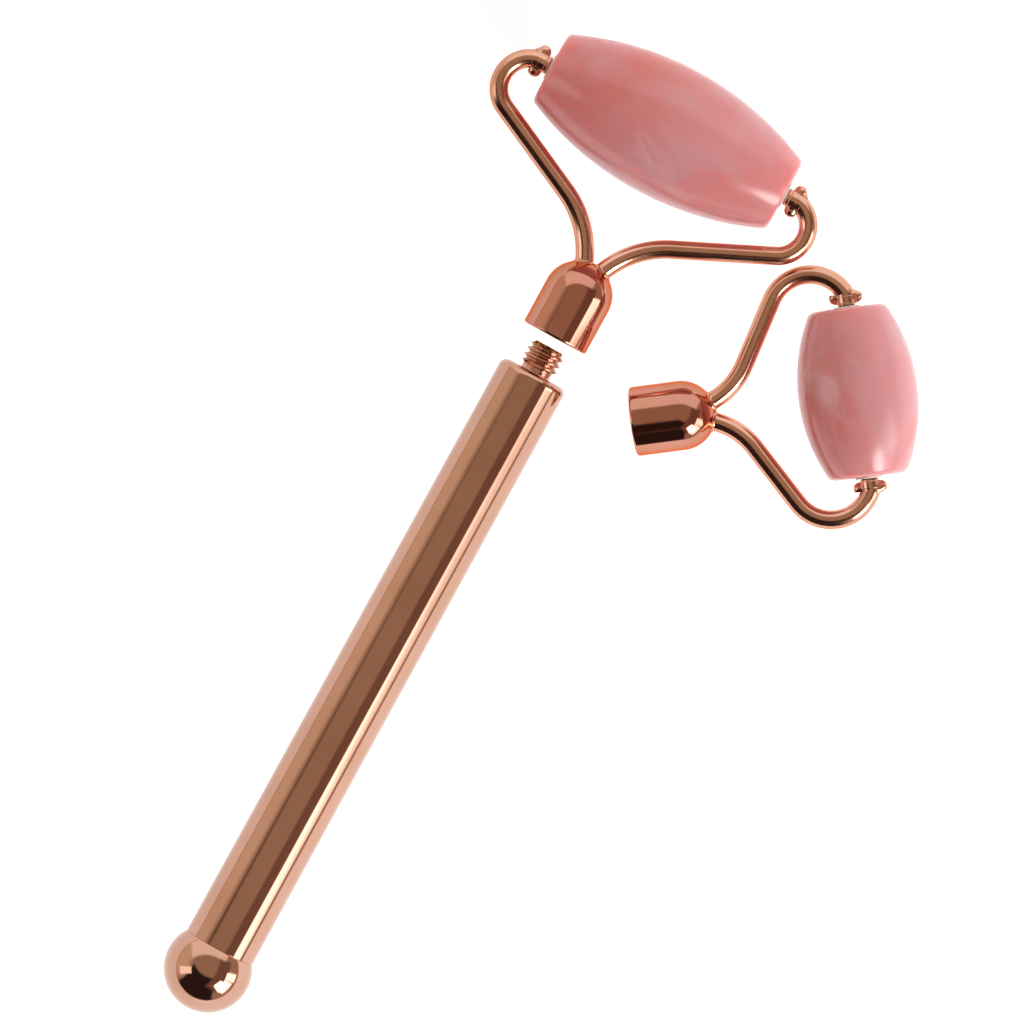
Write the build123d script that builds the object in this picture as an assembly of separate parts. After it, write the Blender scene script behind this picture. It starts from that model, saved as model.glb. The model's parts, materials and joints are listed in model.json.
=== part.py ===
from build123d import *
from math import asin, atan, atan2, cos, degrees, hypot, radians, sin, sqrt, tan
import os

# Face roller kit, all sizes in millimetres: a plated brass handle with a threaded stud, a large roller
# head lying just off the stud, and a small spare head lying beside them on the table.
# Every piece is first drawn standing up, its axis along +Z, and then laid down where it rests.

ON_FOOT = (Align.CENTER, Align.CENTER, Align.MIN)  # centred on its axis, standing on its foot

# Ball and handle tube
BALL_DIAMETER = 13.4
HANDLE_LENGTH = 102.3  # ball centre to the tube's flat top
TUBE_DIAMETER_AT_BALL = 11.2
TUBE_DIAMETER_AT_TOP = 10.9
TUBE_BORE = 9.0
TUBE_END_WALL = 1.6
TUBE_TOP_ROUND = 1.2
BALL_SPIGOT_LENGTH = 8.0
PLUG_LENGTH = 12.0
BOND_GAP = 0.02  # glue line round every bonded or pressed piece

# M6 x 1 right-hand thread, shared by the stud and both heads
THREAD_PITCH = 1.0
THREAD_DIAMETER = 5.8  # over the stud's crests
THREAD_DEPTH = 0.57
THREAD_CREST_WIDTH = 0.24
THREAD_FLANK = 30.0  # degrees off square to the axis
THREAD_RADIAL_PLAY = 0.12
THREAD_FLANK_PLAY = 0.07
THREAD_EMBED = 0.05  # how far a swept ridge is buried in its core
STUD_LENGTH = 4.5  # standing out of the tube's top
STUD_UNDERCUT = 0.7
STUD_TIP_CHAMFER = 0.7
STUD_WALL_PLAY = 0.15
SHANK_PLAY = 0.03

# Bell socket and its thread insert, the same on both heads
SOCKET_DIAMETER = 10.5
SOCKET_STRAIGHT = 7.3
SOCKET_RIM_ROUND = 0.4
SOCKET_FLOOR_GAP = 0.3  # behind the insert
INSERT_WALL = 0.98  # outside the thread groove
INSERT_LENGTH = 7.5
INSERT_RECESS = 0.4
INSERT_LEAD_IN = 1.0  # length of the plain bore in front of the thread
INSERT_LEAD_IN_PLAY = 0.16  # radial, round the stud's crests
INSERT_MOUTH_CHAMFER = 0.3

# Bent wire arms
WIRE_DIAMETER = 2.8
ARM_ROOT_OFFSET = 1.6  # wire centre to head axis where it leaves the dome
ARM_ROOT_LEAN = 25.0  # degrees off the head axis
ARM_SPIGOT = 2.6  # length buried in the dome
TWIN_GAP = 0.04  # between the two ground spigots
TAIL_RADIUS = 2.5
EAR_DIAMETER = 2.0
EAR_THICKNESS = 1.7
EAR_OFFSET = 0.15  # ear centre outside the wire's own radius
EAR_ROUND = 0.75
EAR_SETBACK = 0.15  # from the wire's end face
PIN_DIAMETER = 2.4
PIN_LENGTH = 6.0
NECK_STEP = 0.15  # neck radius over pin radius
NECK_ROOT = 0.1  # how far the neck and the pin run into what they stand on

# Nylon bushes in the ends of the stones
BUSH_WALL = 0.42
BUSH_LENGTH = 6.5
FLANGE_LIP = 0.34  # flange radius over barrel radius
FLANGE_THICKNESS = 0.25
PIN_PLAY = 0.04  # radial running clearance
SIDE_PLAY = 0.12  # neck shoulder to flange

# Large head
LARGE = {
    "axis_height": 35.4,  # socket rim to stone axis
    "stone_length": 40.0,
    "stone_diameter": 20.2,
    "barrel_radius": 48.0,
    "end_round": 1.0,
    "ear_gap": 0.8,  # stone end to the face of the ears
    "root_bend": 16.0,
    "shoulder_bend": 4.6,
    "tail_turn": 10.0,
}

# Small head
SMALL = {
    "axis_height": 34.2,
    "stone_length": 25.6,
    "stone_diameter": 18.1,
    "barrel_radius": 27.0,
    "end_round": 1.4,
    "ear_gap": 0.5,
    "root_bend": 12.0,
    "shoulder_bend": 6.3,
    "tail_turn": 30.0,
}

# How the pieces lie on the table
SCREW_TURNS = 6  # whole turns that close the gap at the stud
SEAT_GAP = 0.05  # left between tube top and socket rim when screwed home
SMALL_HEAD_BACK = 5.3  # its rim lies this far behind the large head's rim
SMALL_HEAD_TUCK = 31.0  # the two heads' widest reaches pass each other by this much
SMALL_HEAD_HEADING = -53.8  # degrees, from the handle's direction


# Thread
def thread_half_width(radius):
    """Half the width of the stud's ridge at a radius."""
    return THREAD_CREST_WIDTH / 2 + (THREAD_DIAMETER / 2 - radius) * tan(radians(THREAD_FLANK))


def thread_ridge(inner, outer, extra, start, length):
    """A helical ridge between two radii, widened by extra on each flank."""
    path = Helix(THREAD_PITCH, length, inner)
    inner_half = thread_half_width(inner) + extra
    outer_half = thread_half_width(outer) + extra
    outline = Polygon(
        (0, -inner_half),
        (outer - inner, -outer_half),
        (outer - inner, outer_half),
        (0, inner_half),
        align=None,
    )
    section = Plane(origin=path @ 0, x_dir=(1, 0, 0), z_dir=(0, -1, 0)) * outline
    return Pos(0, 0, start) * sweep(section, path=path, is_frenet=True)


def thread_tap(start, length):
    """The solid that cuts the matching internal thread: its bore with the groove's ridge round it."""
    bore = thread_minor()
    ridge = thread_ridge(bore - THREAD_EMBED, groove_radius(), THREAD_FLANK_PLAY, start, length)
    core = Pos(0, 0, start - THREAD_PITCH) * Cylinder(bore, length + 2 * THREAD_PITCH, align=ON_FOOT)
    return core + ridge


def thread_minor():
    """Radius of the bore that the internal thread is cut in."""
    return THREAD_DIAMETER / 2 - THREAD_DEPTH + THREAD_RADIAL_PLAY


def groove_radius():
    """Radius at the bottom of the internal thread's groove."""
    return THREAD_DIAMETER / 2 + THREAD_RADIAL_PLAY


def lead_in_radius():
    """Radius of the plain bore that guides the stud into the thread."""
    return THREAD_DIAMETER / 2 + INSERT_LEAD_IN_PLAY


def insert_radius():
    """Outside radius of the thread insert."""
    return groove_radius() + INSERT_WALL


# Handle, drawn with the ball centre at z = 0
def ball_seat():
    """Height of the flat on the ball that the tube stands on."""
    return sqrt((BALL_DIAMETER / 2) ** 2 - (TUBE_DIAMETER_AT_BALL / 2) ** 2)


def ball_end():
    """Turned ball with a flat seat and a spigot that plugs the tube."""
    seat = ball_seat()
    above = Pos(0, 0, seat) * Cylinder(BALL_DIAMETER, BALL_DIAMETER, align=ON_FOOT)
    spigot = Pos(0, 0, seat) * Cylinder(TUBE_BORE / 2 - BOND_GAP, BALL_SPIGOT_LENGTH, align=ON_FOOT)
    spigot = chamfer(spigot.edges().group_by(Axis.Z)[-1], TUBE_BORE / 20)
    return (Sphere(BALL_DIAMETER / 2) - above) + spigot


def handle_tube():
    """Slightly tapered tube, closed at the top by an end wall with a hole for the stud."""
    seat = ball_seat()
    foot_radius = TUBE_DIAMETER_AT_BALL / 2
    top_radius = TUBE_DIAMETER_AT_TOP / 2
    bore_top = HANDLE_LENGTH - TUBE_END_WALL
    hole_radius = THREAD_DIAMETER / 2 + STUD_WALL_PLAY
    outline = Polygon(
        (TUBE_BORE / 2, seat),
        (foot_radius, seat),
        (top_radius, HANDLE_LENGTH),
        (hole_radius, HANDLE_LENGTH),
        (hole_radius, bore_top),
        (TUBE_BORE / 2, bore_top),
        align=None,
    )
    corner = outline.vertices().sort_by(Axis.Y).group_by(Axis.Y)[-1].sort_by(Axis.X)[-1]
    rounded = fillet(corner, min(TUBE_TOP_ROUND, TUBE_END_WALL - BOND_GAP))
    return revolve(Plane.XZ * rounded, Axis.Z)


def top_plug():
    """Round plug bonded under the tube's end wall, bored for the stud's shank."""
    body = Cylinder(TUBE_BORE / 2 - BOND_GAP, PLUG_LENGTH)
    bore = Cylinder(THREAD_DIAMETER / 2 + SHANK_PLAY, PLUG_LENGTH)
    middle = HANDLE_LENGTH - TUBE_END_WALL - BOND_GAP - PLUG_LENGTH / 2
    return Pos(0, 0, middle) * (body - bore)


def threaded_stud():
    """Stud with a plain shank in the plug, an undercut at the tube's face, and a rolled thread."""
    crest = THREAD_DIAMETER / 2
    root = crest - THREAD_DEPTH
    foot = HANDLE_LENGTH - TUBE_END_WALL - PLUG_LENGTH
    thread_foot = HANDLE_LENGTH + STUD_UNDERCUT
    thread_length = STUD_LENGTH - STUD_UNDERCUT
    shank = Pos(0, 0, foot) * Cylinder(crest, HANDLE_LENGTH - foot, align=ON_FOOT)
    neck = Pos(0, 0, HANDLE_LENGTH) * Cylinder(root, STUD_UNDERCUT, align=ON_FOOT)
    core = Pos(0, 0, thread_foot) * Cylinder(root, thread_length, align=ON_FOOT)
    ridge_start = HANDLE_LENGTH - THREAD_PITCH
    ridge = thread_ridge(root - THREAD_EMBED, crest, 0, ridge_start, STUD_LENGTH + THREAD_PITCH)
    limit = Cylinder(crest, thread_length, align=ON_FOOT)
    limit = chamfer(limit.edges().group_by(Axis.Z)[-1], STUD_TIP_CHAMFER)
    limit = chamfer(limit.edges().group_by(Axis.Z)[0], THREAD_DEPTH)
    threaded = (core + ridge) & (Pos(0, 0, thread_foot) * limit)
    return shank + neck + threaded


# Heads, drawn with the socket's rim at z = 0 and the stone's axis along X
def dome_surface(offset):
    """Height of the socket's domed end at a distance from the axis."""
    return SOCKET_STRAIGHT + sqrt((SOCKET_DIAMETER / 2) ** 2 - offset**2)


def socket_bore_depth():
    """Depth of the flat-bottomed bore that holds the thread insert."""
    return INSERT_RECESS + INSERT_LENGTH + SOCKET_FLOOR_GAP


def spigot_holes():
    """Two angled drillings in the dome for the arms' ends."""
    holes = [arm_spigot(WIRE_DIAMETER / 2 + BOND_GAP, ARM_SPIGOT + BOND_GAP, side) for side in (1, -1)]
    return holes[0] + holes[1]


def arm_spigot(radius, depth, side):
    """The straight end of an arm, from depth inside the dome to just outside it."""
    outside = WIRE_DIAMETER
    rod = Cylinder(radius, depth + outside, align=ON_FOOT)
    root = Pos(side * ARM_ROOT_OFFSET, 0, dome_surface(ARM_ROOT_OFFSET))
    return root * Rot(0, side * ARM_ROOT_LEAN, 0) * Pos(0, 0, -depth) * rod


def socket():
    """Bell-shaped socket: straight skirt, domed end, flat-bottomed bore for the thread insert."""
    outer = SOCKET_DIAMETER / 2
    bore = insert_radius() + BOND_GAP
    skirt = Cylinder(outer, SOCKET_STRAIGHT, align=ON_FOOT)
    skirt = fillet(skirt.edges().group_by(Axis.Z)[0], SOCKET_RIM_ROUND)
    dome = Pos(0, 0, SOCKET_STRAIGHT) * Sphere(outer)
    below = Cylinder(outer * 2, SOCKET_STRAIGHT * 2, align=(Align.CENTER, Align.CENTER, Align.MAX))
    bell = skirt + (dome - Pos(0, 0, SOCKET_STRAIGHT) * below)
    hollow = Cylinder(bore, socket_bore_depth(), align=ON_FOOT)
    return bell - hollow - spigot_holes()


def thread_insert(phase):
    """Threaded sleeve bonded in the socket, with a chamfered plain lead-in in front of its thread."""
    sleeve = Cylinder(insert_radius(), INSERT_LENGTH, align=ON_FOOT)
    mouth_radius = lead_in_radius() + INSERT_MOUTH_CHAMFER
    mouth = Cone(mouth_radius, 0, mouth_radius, align=ON_FOOT)
    lead_in = Cylinder(lead_in_radius(), INSERT_MOUTH_CHAMFER + INSERT_LEAD_IN, align=ON_FOOT)
    tap = thread_tap(phase - INSERT_RECESS - 2 * THREAD_PITCH, INSERT_LENGTH + 4 * THREAD_PITCH)
    return Pos(0, 0, INSERT_RECESS) * ((sleeve - mouth - lead_in) - tap)


def arm_outline(head):
    """Flare angle and straight run that carry the bent wire from the dome to the stone's end."""
    lean = radians(ARM_ROOT_LEAN)
    tail = radians(head["tail_turn"])
    shoulder = head["shoulder_bend"]
    rise = head["axis_height"] - dome_surface(ARM_ROOT_OFFSET)
    reach = tail_reach(head) - ARM_ROOT_OFFSET
    along = rise + head["root_bend"] * sin(lean) - shoulder * cos(tail) - TAIL_RADIUS * (1 - cos(tail))
    across = reach - head["root_bend"] * cos(lean) - shoulder * sin(tail) + TAIL_RADIUS * sin(tail)
    bends = head["root_bend"] + shoulder
    run = sqrt(along**2 + across**2 - bends**2)
    flare = atan2(across, along) + atan2(bends, run)
    return degrees(flare), run


def ear_face(head):
    """Distance from the head's axis to the face of the ears beside the stone."""
    return head["stone_length"] / 2 + head["ear_gap"]


def tail_reach(head):
    """Distance from the head's axis to where the bent wire has turned square to it."""
    return ear_face(head) + EAR_DIAMETER / 2


def arm_path(head):
    """Centre line of the arm on the +X side, from its spigot to the ears."""
    flare, run = arm_outline(head)
    lean = radians(ARM_ROOT_LEAN)
    root = Vector(ARM_ROOT_OFFSET, dome_surface(ARM_ROOT_OFFSET))
    leaving = Vector(sin(lean), cos(lean))
    buried = root - leaving * ARM_SPIGOT
    flank_way = Vector(sin(radians(flare)), cos(radians(flare)))
    with BuildLine() as line:
        Line(buried, root)
        waist = JernArc(root, leaving, head["root_bend"], ARM_ROOT_LEAN - flare)
        flank = PolarLine(waist @ 1, run, direction=flank_way)
        turn = flare + 90 - head["tail_turn"]
        shoulder = JernArc(flank @ 1, flank % 1, head["shoulder_bend"], turn)
        tail = JernArc(shoulder @ 1, shoulder % 1, TAIL_RADIUS, head["tail_turn"])
        Line(tail @ 1, (ear_face(head), head["axis_height"]))
    return Plane.XZ * line.wire()


def ears(head):
    """Two rounded ears pinched out of the wire, one each side of the pin."""
    button = Cylinder(EAR_DIAMETER / 2, EAR_THICKNESS)
    button = fillet(button.edges().filter_by(GeomType.CIRCLE), EAR_ROUND)
    button = Rot(90, 0, 0) * button
    centre = ear_face(head) + EAR_SETBACK + EAR_DIAMETER / 2
    height = head["axis_height"]
    offset = WIRE_DIAMETER / 2 + EAR_OFFSET
    return [Pos(centre, 0, height + side * offset) * button for side in (1, -1)]


def arm(head):
    """Bent wire arm on the +X side, with its ears, its neck and the pin that carries the stone."""
    path = arm_path(head)
    start = Plane(origin=path @ 0, z_dir=path % 0)
    piece = sweep(start * Circle(WIRE_DIAMETER / 2), path=path)
    for ear in ears(head):
        piece = piece + ear
    neck_end = head["stone_length"] / 2 + FLANGE_THICKNESS + SIDE_PLAY
    pin_end = head["stone_length"] / 2 - PIN_LENGTH
    piece = piece + arm_rod(PIN_DIAMETER / 2 + NECK_STEP, neck_end, ear_face(head) + NECK_ROOT, head)
    piece = piece + arm_rod(PIN_DIAMETER / 2, pin_end, neck_end + NECK_ROOT, head)
    far_side = Box(WIRE_DIAMETER * 4, WIRE_DIAMETER * 2, head["axis_height"])
    far_side = Pos(TWIN_GAP / 2 - WIRE_DIAMETER * 2, 0, head["axis_height"] / 2) * far_side
    return piece - far_side


def arm_rod(radius, start, end, head):
    """A round rod along the stone's axis between two distances from the head's axis."""
    rod = Cylinder(radius, end - start, align=ON_FOOT)
    return Pos(start, 0, head["axis_height"]) * Rot(0, 90, 0) * rod


def bush_radius():
    """Outside radius of a bush's barrel."""
    return PIN_DIAMETER / 2 + PIN_PLAY + BUSH_WALL


def stone(head):
    """Barrel-shaped stone, its flank one long arc, drilled right through for its bushes."""
    half = head["stone_length"] / 2
    belly = head["stone_diameter"] / 2
    end = belly - head["barrel_radius"] + sqrt(head["barrel_radius"] ** 2 - half**2)
    with BuildSketch(Plane.XY) as outline:
        with BuildLine():
            flank = ThreePointArc((-half, end), (0, belly), (half, end))
            Polyline(flank @ 1, (half, 0), (-half, 0), flank @ 0)
        make_face()
        fillet(outline.vertices().group_by(Axis.Y)[-1], head["end_round"])
    body = revolve(outline.sketch, Axis.X)
    bore = Rot(0, 90, 0) * Cylinder(bush_radius() + BOND_GAP, head["stone_length"] * 2)
    return Pos(0, 0, head["axis_height"]) * (body - bore)


def bush(head):
    """Flanged nylon bush in the +X end of the stone."""
    half = head["stone_length"] / 2
    barrel = arm_rod(bush_radius(), half - BUSH_LENGTH, half, head)
    flange = arm_rod(bush_radius() + FLANGE_LIP, half, half + FLANGE_THICKNESS, head)
    hole = arm_rod(PIN_DIAMETER / 2 + PIN_PLAY, 0, half * 2, head)
    return (barrel + flange) - hole


def roller_head(name, head, phase):
    """All the pieces of one head by node name."""
    right = mirror(arm(head), about=Plane.YZ)
    return {
        f"{name}_socket": socket(),
        f"{name}_thread_insert": thread_insert(phase),
        f"{name}_left_arm": arm(head),
        f"{name}_right_arm": right,
        f"{name}_stone": stone(head),
        f"{name}_left_bush": bush(head),
        f"{name}_right_bush": mirror(bush(head), about=Plane.YZ),
    }


# Laying the pieces down
def screwed_length():
    """Ball centre to the large head's rim as it lies, one whole number of turns from home."""
    return HANDLE_LENGTH + SEAT_GAP + SCREW_TURNS * THREAD_PITCH


def handle_tilt():
    """Slope of the handle and large head, which rest on the ball and on the large stone."""
    rise = (LARGE["stone_diameter"] - BALL_DIAMETER) / 2
    return degrees(asin(rise / (screwed_length() + LARGE["axis_height"])))


def small_head_tilt():
    """Slope of the small head, which rests on its rounded rim and on its stone."""
    rise = SMALL["stone_diameter"] / 2 - SOCKET_RIM_ROUND
    along = SMALL["axis_height"] - SOCKET_RIM_ROUND
    out = SOCKET_DIAMETER / 2 - SOCKET_RIM_ROUND
    return degrees(asin(rise / hypot(along, out)) - atan(out / along))


def lying_plane(point, heading, tilt):
    """The plane of a lying piece's foot: its axis points along the heading, raised by the tilt."""
    ahead = Vector(cos(radians(heading)), sin(radians(heading)), 0)
    left = Vector(-ahead.Y, ahead.X, 0)
    axis = ahead * cos(radians(tilt)) + Vector(0, 0, sin(radians(tilt)))
    return Plane(origin=point, x_dir=left, z_dir=axis)


def handle_plane():
    """Where the handle's own frame lies, with the ball on the table."""
    return lying_plane((0, 0, BALL_DIAMETER / 2), 0, handle_tilt())


def large_head_plane():
    """Where the large head's own frame lies, in line with the handle."""
    lying = handle_plane()
    return Plane(origin=lying.origin + lying.z_dir * screwed_length(), x_dir=lying.x_dir, z_dir=lying.z_dir)


def arm_reach(head):
    """Distance from the head's axis to the outside of its arms at their widest."""
    turned_square = tail_reach(head) + TAIL_RADIUS * sin(radians(head["tail_turn"]))
    crown = turned_square + head["shoulder_bend"] * (1 - sin(radians(head["tail_turn"])))
    return crown + WIRE_DIAMETER / 2


def small_head_plane():
    """Where the small head's own frame lies, its rim and its stone on the table."""
    tilt = small_head_tilt()
    stone_height = SMALL["stone_diameter"] / 2
    rim_height = stone_height - SMALL["axis_height"] * sin(radians(tilt))
    rim_along = screwed_length() - SMALL_HEAD_BACK
    rim_across = SMALL_HEAD_TUCK - arm_reach(LARGE) - arm_reach(SMALL)
    return lying_plane((rim_along, rim_across, rim_height), SMALL_HEAD_HEADING, tilt)


def kit():
    """Every piece by node name, laid out with the ball centre over the origin."""
    handle = {
        "ball_end": ball_end(),
        "handle_tube": handle_tube(),
        "top_plug": top_plug(),
        "threaded_stud": threaded_stud(),
    }
    large = roller_head("large", LARGE, -SEAT_GAP)
    small = roller_head("small", SMALL, -SEAT_GAP)
    laid = {}
    for pieces, plane in (
        (handle, handle_plane()),
        (large, large_head_plane()),
        (small, small_head_plane()),
    ):
        for node, piece in pieces.items():
            laid[node] = plane.location * piece
    return laid


def table_shift(pieces):
    """Move that brings the middle of the kit's footprint to the origin."""
    boxes = [piece.bounding_box() for piece in pieces.values()]
    middle_x = (min(box.min.X for box in boxes) + max(box.max.X for box in boxes)) / 2
    middle_y = (min(box.min.Y for box in boxes) + max(box.max.Y for box in boxes)) / 2
    lowest = min(box.min.Z for box in boxes)
    return Vector(-middle_x, -middle_y, -lowest)


os.makedirs("parts", exist_ok=True)
pieces = kit()
shift = table_shift(pieces)
for node, piece in pieces.items():
    export_step(Pos(shift) * piece, f"parts/{node}.step")
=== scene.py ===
import json
import math

import bpy
from mathutils import Matrix, Vector, noise


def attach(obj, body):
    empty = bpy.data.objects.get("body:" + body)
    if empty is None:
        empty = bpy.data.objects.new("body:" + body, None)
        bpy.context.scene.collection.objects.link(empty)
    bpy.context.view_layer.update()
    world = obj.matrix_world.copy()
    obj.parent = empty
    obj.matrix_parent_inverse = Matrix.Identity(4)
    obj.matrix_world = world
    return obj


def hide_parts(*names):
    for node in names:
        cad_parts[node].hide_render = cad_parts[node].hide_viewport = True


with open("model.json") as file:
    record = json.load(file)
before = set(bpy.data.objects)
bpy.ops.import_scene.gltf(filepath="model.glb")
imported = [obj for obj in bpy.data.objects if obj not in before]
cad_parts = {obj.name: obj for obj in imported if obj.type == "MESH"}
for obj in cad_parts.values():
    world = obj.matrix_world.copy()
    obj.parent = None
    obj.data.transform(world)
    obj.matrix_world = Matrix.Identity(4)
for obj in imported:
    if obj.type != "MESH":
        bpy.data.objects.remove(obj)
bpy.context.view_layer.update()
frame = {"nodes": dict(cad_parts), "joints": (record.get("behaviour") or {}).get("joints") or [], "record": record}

# ---------------------------------------------------------------------------------------------
# Ball end: a solid brass ball, turned with a flat seat and a spigot that plugs the tube, then
# polished and plated rose gold together with the tube. It is bonded in, so only a fine line shows.
# ---------------------------------------------------------------------------------------------
MM = 0.001
joints = {joint["name"]: joint for joint in frame["joints"]}


def place(foot, ahead, left):
    """The frame of a piece drawn standing up: its foot, its axis, and its left side."""
    ahead, left = Vector(ahead).normalized(), Vector(left).normalized()
    up = ahead.cross(left)
    standing = Matrix((left, up, ahead)).transposed().to_4x4()
    return Matrix.Translation(Vector(foot)) @ standing


def skin(name, rings, closed, at):
    """A mesh through rings of points. Closed joins the last to the first; else both are capped."""
    sides = len(rings[0])
    points = [point for ring in rings for point in ring]
    faces = []
    spans = len(rings) if closed else len(rings) - 1
    for i in range(spans):
        a, b = i * sides, (i + 1) % len(rings) * sides
        for k in range(sides):
            n = (k + 1) % sides
            faces.append((a + k, a + n, b + n, b + k))
    if not closed:
        for ring, order in ((0, -1), (len(rings) - 1, 1)):
            middle = len(points)
            points.append(sum(rings[ring], Vector()) / sides)
            for k in range(sides):
                edge = (ring * sides + k, ring * sides + (k + 1) % sides)[::order]
                faces.append((*edge, middle))
    mesh = bpy.data.meshes.new(name)
    mesh.from_pydata([at @ point for point in points], [], faces)
    mesh.update()
    for face in mesh.polygons:
        face.use_smooth = True
    piece = bpy.data.objects.new(name, mesh)
    bpy.context.scene.collection.objects.link(piece)
    return piece


def eased(corners, steps):
    """An outline of (radius, height) corners, each rounded by its third number.

    A ring close by each end of a rounding keeps the flats next to it shading flat.
    """
    beside = 0.12
    out = []
    for i, (x, z, ease) in enumerate(corners):
        here = Vector((x, z))
        if not ease:
            out.append(here)
            continue
        before = Vector(corners[i - 1][:2]) - here
        after = Vector(corners[(i + 1) % len(corners)][:2]) - here
        half = before.angle(after) / 2
        back = ease / math.tan(half)
        start, end = here + before.normalized() * back, here + after.normalized() * back
        inward = (before.normalized() + after.normalized()).normalized()
        hub = here + inward * (ease / math.sin(half))
        first, last = start - hub, end - hub
        sweep = math.pi - 2 * half
        out.append(start + before.normalized() * ease * beside)
        for k in range(steps + 1):
            t = k / steps
            swung = first * math.sin((1 - t) * sweep) + last * math.sin(t * sweep)
            out.append(hub + swung / math.sin(sweep))
        out.append(end + after.normalized() * ease * beside)
    return out


def level_ring(radius, height, sides):
    """One ring round a piece's axis. The radius is a number, or a function of height and angle."""
    ring = []
    for k in range(sides):
        angle = 2 * math.pi * k / sides
        reach = radius(height, angle) if callable(radius) else radius
        ring.append(Vector((reach * math.cos(angle), reach * math.sin(angle), height)))
    return ring


def turned(name, outline, at, sides, closed=False):
    """A piece turned round its own axis from an outline of (radius, height) in metres."""
    return skin(name, [level_ring(radius, height, sides) for radius, height in outline], closed, at)


def wires(material):
    """The nodes, the linker and the shader of a fresh material."""
    material.use_nodes = True
    nodes, links = material.node_tree.nodes, material.node_tree.links
    return nodes, links.new, nodes["Principled BSDF"]


def own_axes(nodes, link, at):
    """Coordinates counted from a piece's own foot and along its own axis."""
    standing = nodes.new("ShaderNodeMapping")
    standing.vector_type = "TEXTURE"
    standing.inputs["Location"].default_value = at.to_translation()
    standing.inputs["Rotation"].default_value = at.to_euler()
    link(nodes.new("ShaderNodeTexCoord").outputs["Object"], standing.inputs["Vector"])
    return standing.outputs["Vector"]


def spread(nodes, link, coordinate, scale, detail, size=(1, 1, 1), warp=0.0):
    """Cloudy noise over a piece's own coordinates, stretched by size."""
    stretch = nodes.new("ShaderNodeMapping")
    stretch.inputs["Scale"].default_value = size
    link(coordinate, stretch.inputs["Vector"])
    cloud = nodes.new("ShaderNodeTexNoise")
    cloud.inputs["Scale"].default_value = scale
    cloud.inputs["Detail"].default_value = detail
    cloud.inputs["Distortion"].default_value = warp
    link(stretch.outputs["Vector"], cloud.inputs["Vector"])
    return cloud.outputs["Fac"]


def between(nodes, link, value, low, high, to_low=0.0, to_high=1.0):
    """Carries value from low..high to to_low..to_high, held at both ends."""
    ramp = nodes.new("ShaderNodeMapRange")
    ramp.interpolation_type = "SMOOTHSTEP"
    numbers = {"From Min": low, "From Max": high, "To Min": to_low, "To Max": to_high}
    for socket, number in numbers.items():
        ramp.inputs[socket].default_value = number
    link(value, ramp.inputs["Value"])
    return ramp.outputs["Result"]


def reckoned(nodes, link, operation, *values):
    """A sum worked out over sockets and plain numbers."""
    node = nodes.new("ShaderNodeMath")
    node.operation = operation
    for socket, value in zip(node.inputs, values):
        if isinstance(value, float):
            socket.default_value = value
        else:
            link(value, socket)
    return node.outputs["Value"]


def tinted(nodes, link, share, one, other):
    """A mix of two colours, or of a colour and another mix, by share."""
    mix = nodes.new("ShaderNodeMix")
    mix.data_type = "RGBA"
    link(share, mix.inputs["Factor"])
    for socket, colour in ((6, one), (7, other)):
        if isinstance(colour, tuple):
            mix.inputs[socket].default_value = (*colour, 1)
        else:
            link(colour, mix.inputs[socket])
    return mix.outputs[2]


def bumped(nodes, link, shader, height, strength, deep):
    """Fine relief on a finish, as deep as given where its height is 1."""
    bump = nodes.new("ShaderNodeBump")
    bump.inputs["Strength"].default_value = strength
    bump.inputs["Distance"].default_value = deep
    link(height, bump.inputs["Height"])
    link(bump.outputs["Normal"], shader.inputs["Normal"])


MIRROR_POLISH = (0.035, 0.085)
PLAIN_EDGE = (1.0, 1.0, 1.0)


def rose_gold(name, at, bright, deep, lengthwise=1.0, edge=PLAIN_EDGE, polish=MIRROR_POLISH):
    """Polished rose-gold plating: tone drifts a little, fine polishing lines run round the piece."""
    material = bpy.data.materials.new(name)
    nodes, link, shader = wires(material)
    own = own_axes(nodes, link, at)
    drift = between(nodes, link, spread(nodes, link, own, scale=90, detail=3), 0.35, 0.65)
    link(tinted(nodes, link, drift, bright, deep), shader.inputs["Base Color"])
    smear = spread(nodes, link, own, scale=260, detail=4, size=(1, 1, 0.4 * lengthwise))
    link(between(nodes, link, smear, 0.35, 0.7, *polish), shader.inputs["Roughness"])
    hairlines = spread(nodes, link, own, scale=2600, detail=3, size=(1, 1, 0.08 * lengthwise))
    ripple = spread(nodes, link, own, scale=150, detail=2)
    relief = reckoned(nodes, link, "MULTIPLY_ADD", hairlines, 0.05, ripple)
    bumped(nodes, link, shader, relief, strength=0.12, deep=0.02 * MM)
    shader.inputs["Metallic"].default_value = 1.0
    shader.inputs["Specular Tint"].default_value = (*edge, 1)
    return material


HANDLE_LENGTH = 102.3 * MM
BALL_RADIUS = 6.7 * MM
BALL_RINGS = 96
TUBE_FOOT_RADIUS = 5.6 * MM
TUBE_FOOT_ROUND = 0.06 * MM
BALL_SPIGOT_RADIUS = 4.48 * MM
BALL_SPIGOT_LENGTH = 8 * MM
BALL_SPIGOT_FILLET = 0.1 * MM
BALL_SPIGOT_CHAMFER = 0.45 * MM
FINE_SIDES = 160
HANDLE_BRIGHT = (0.585, 0.335, 0.25)
HANDLE_DEEP = (0.55, 0.31, 0.225)

turn = joints["handle_turn"]
handle_ahead = Vector(turn["axis"])
handle_foot = Vector(turn["pos_m"]) - handle_ahead * HANDLE_LENGTH
handle_place = place(handle_foot, handle_ahead, joints["large_stone_spin"]["axis"])

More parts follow.
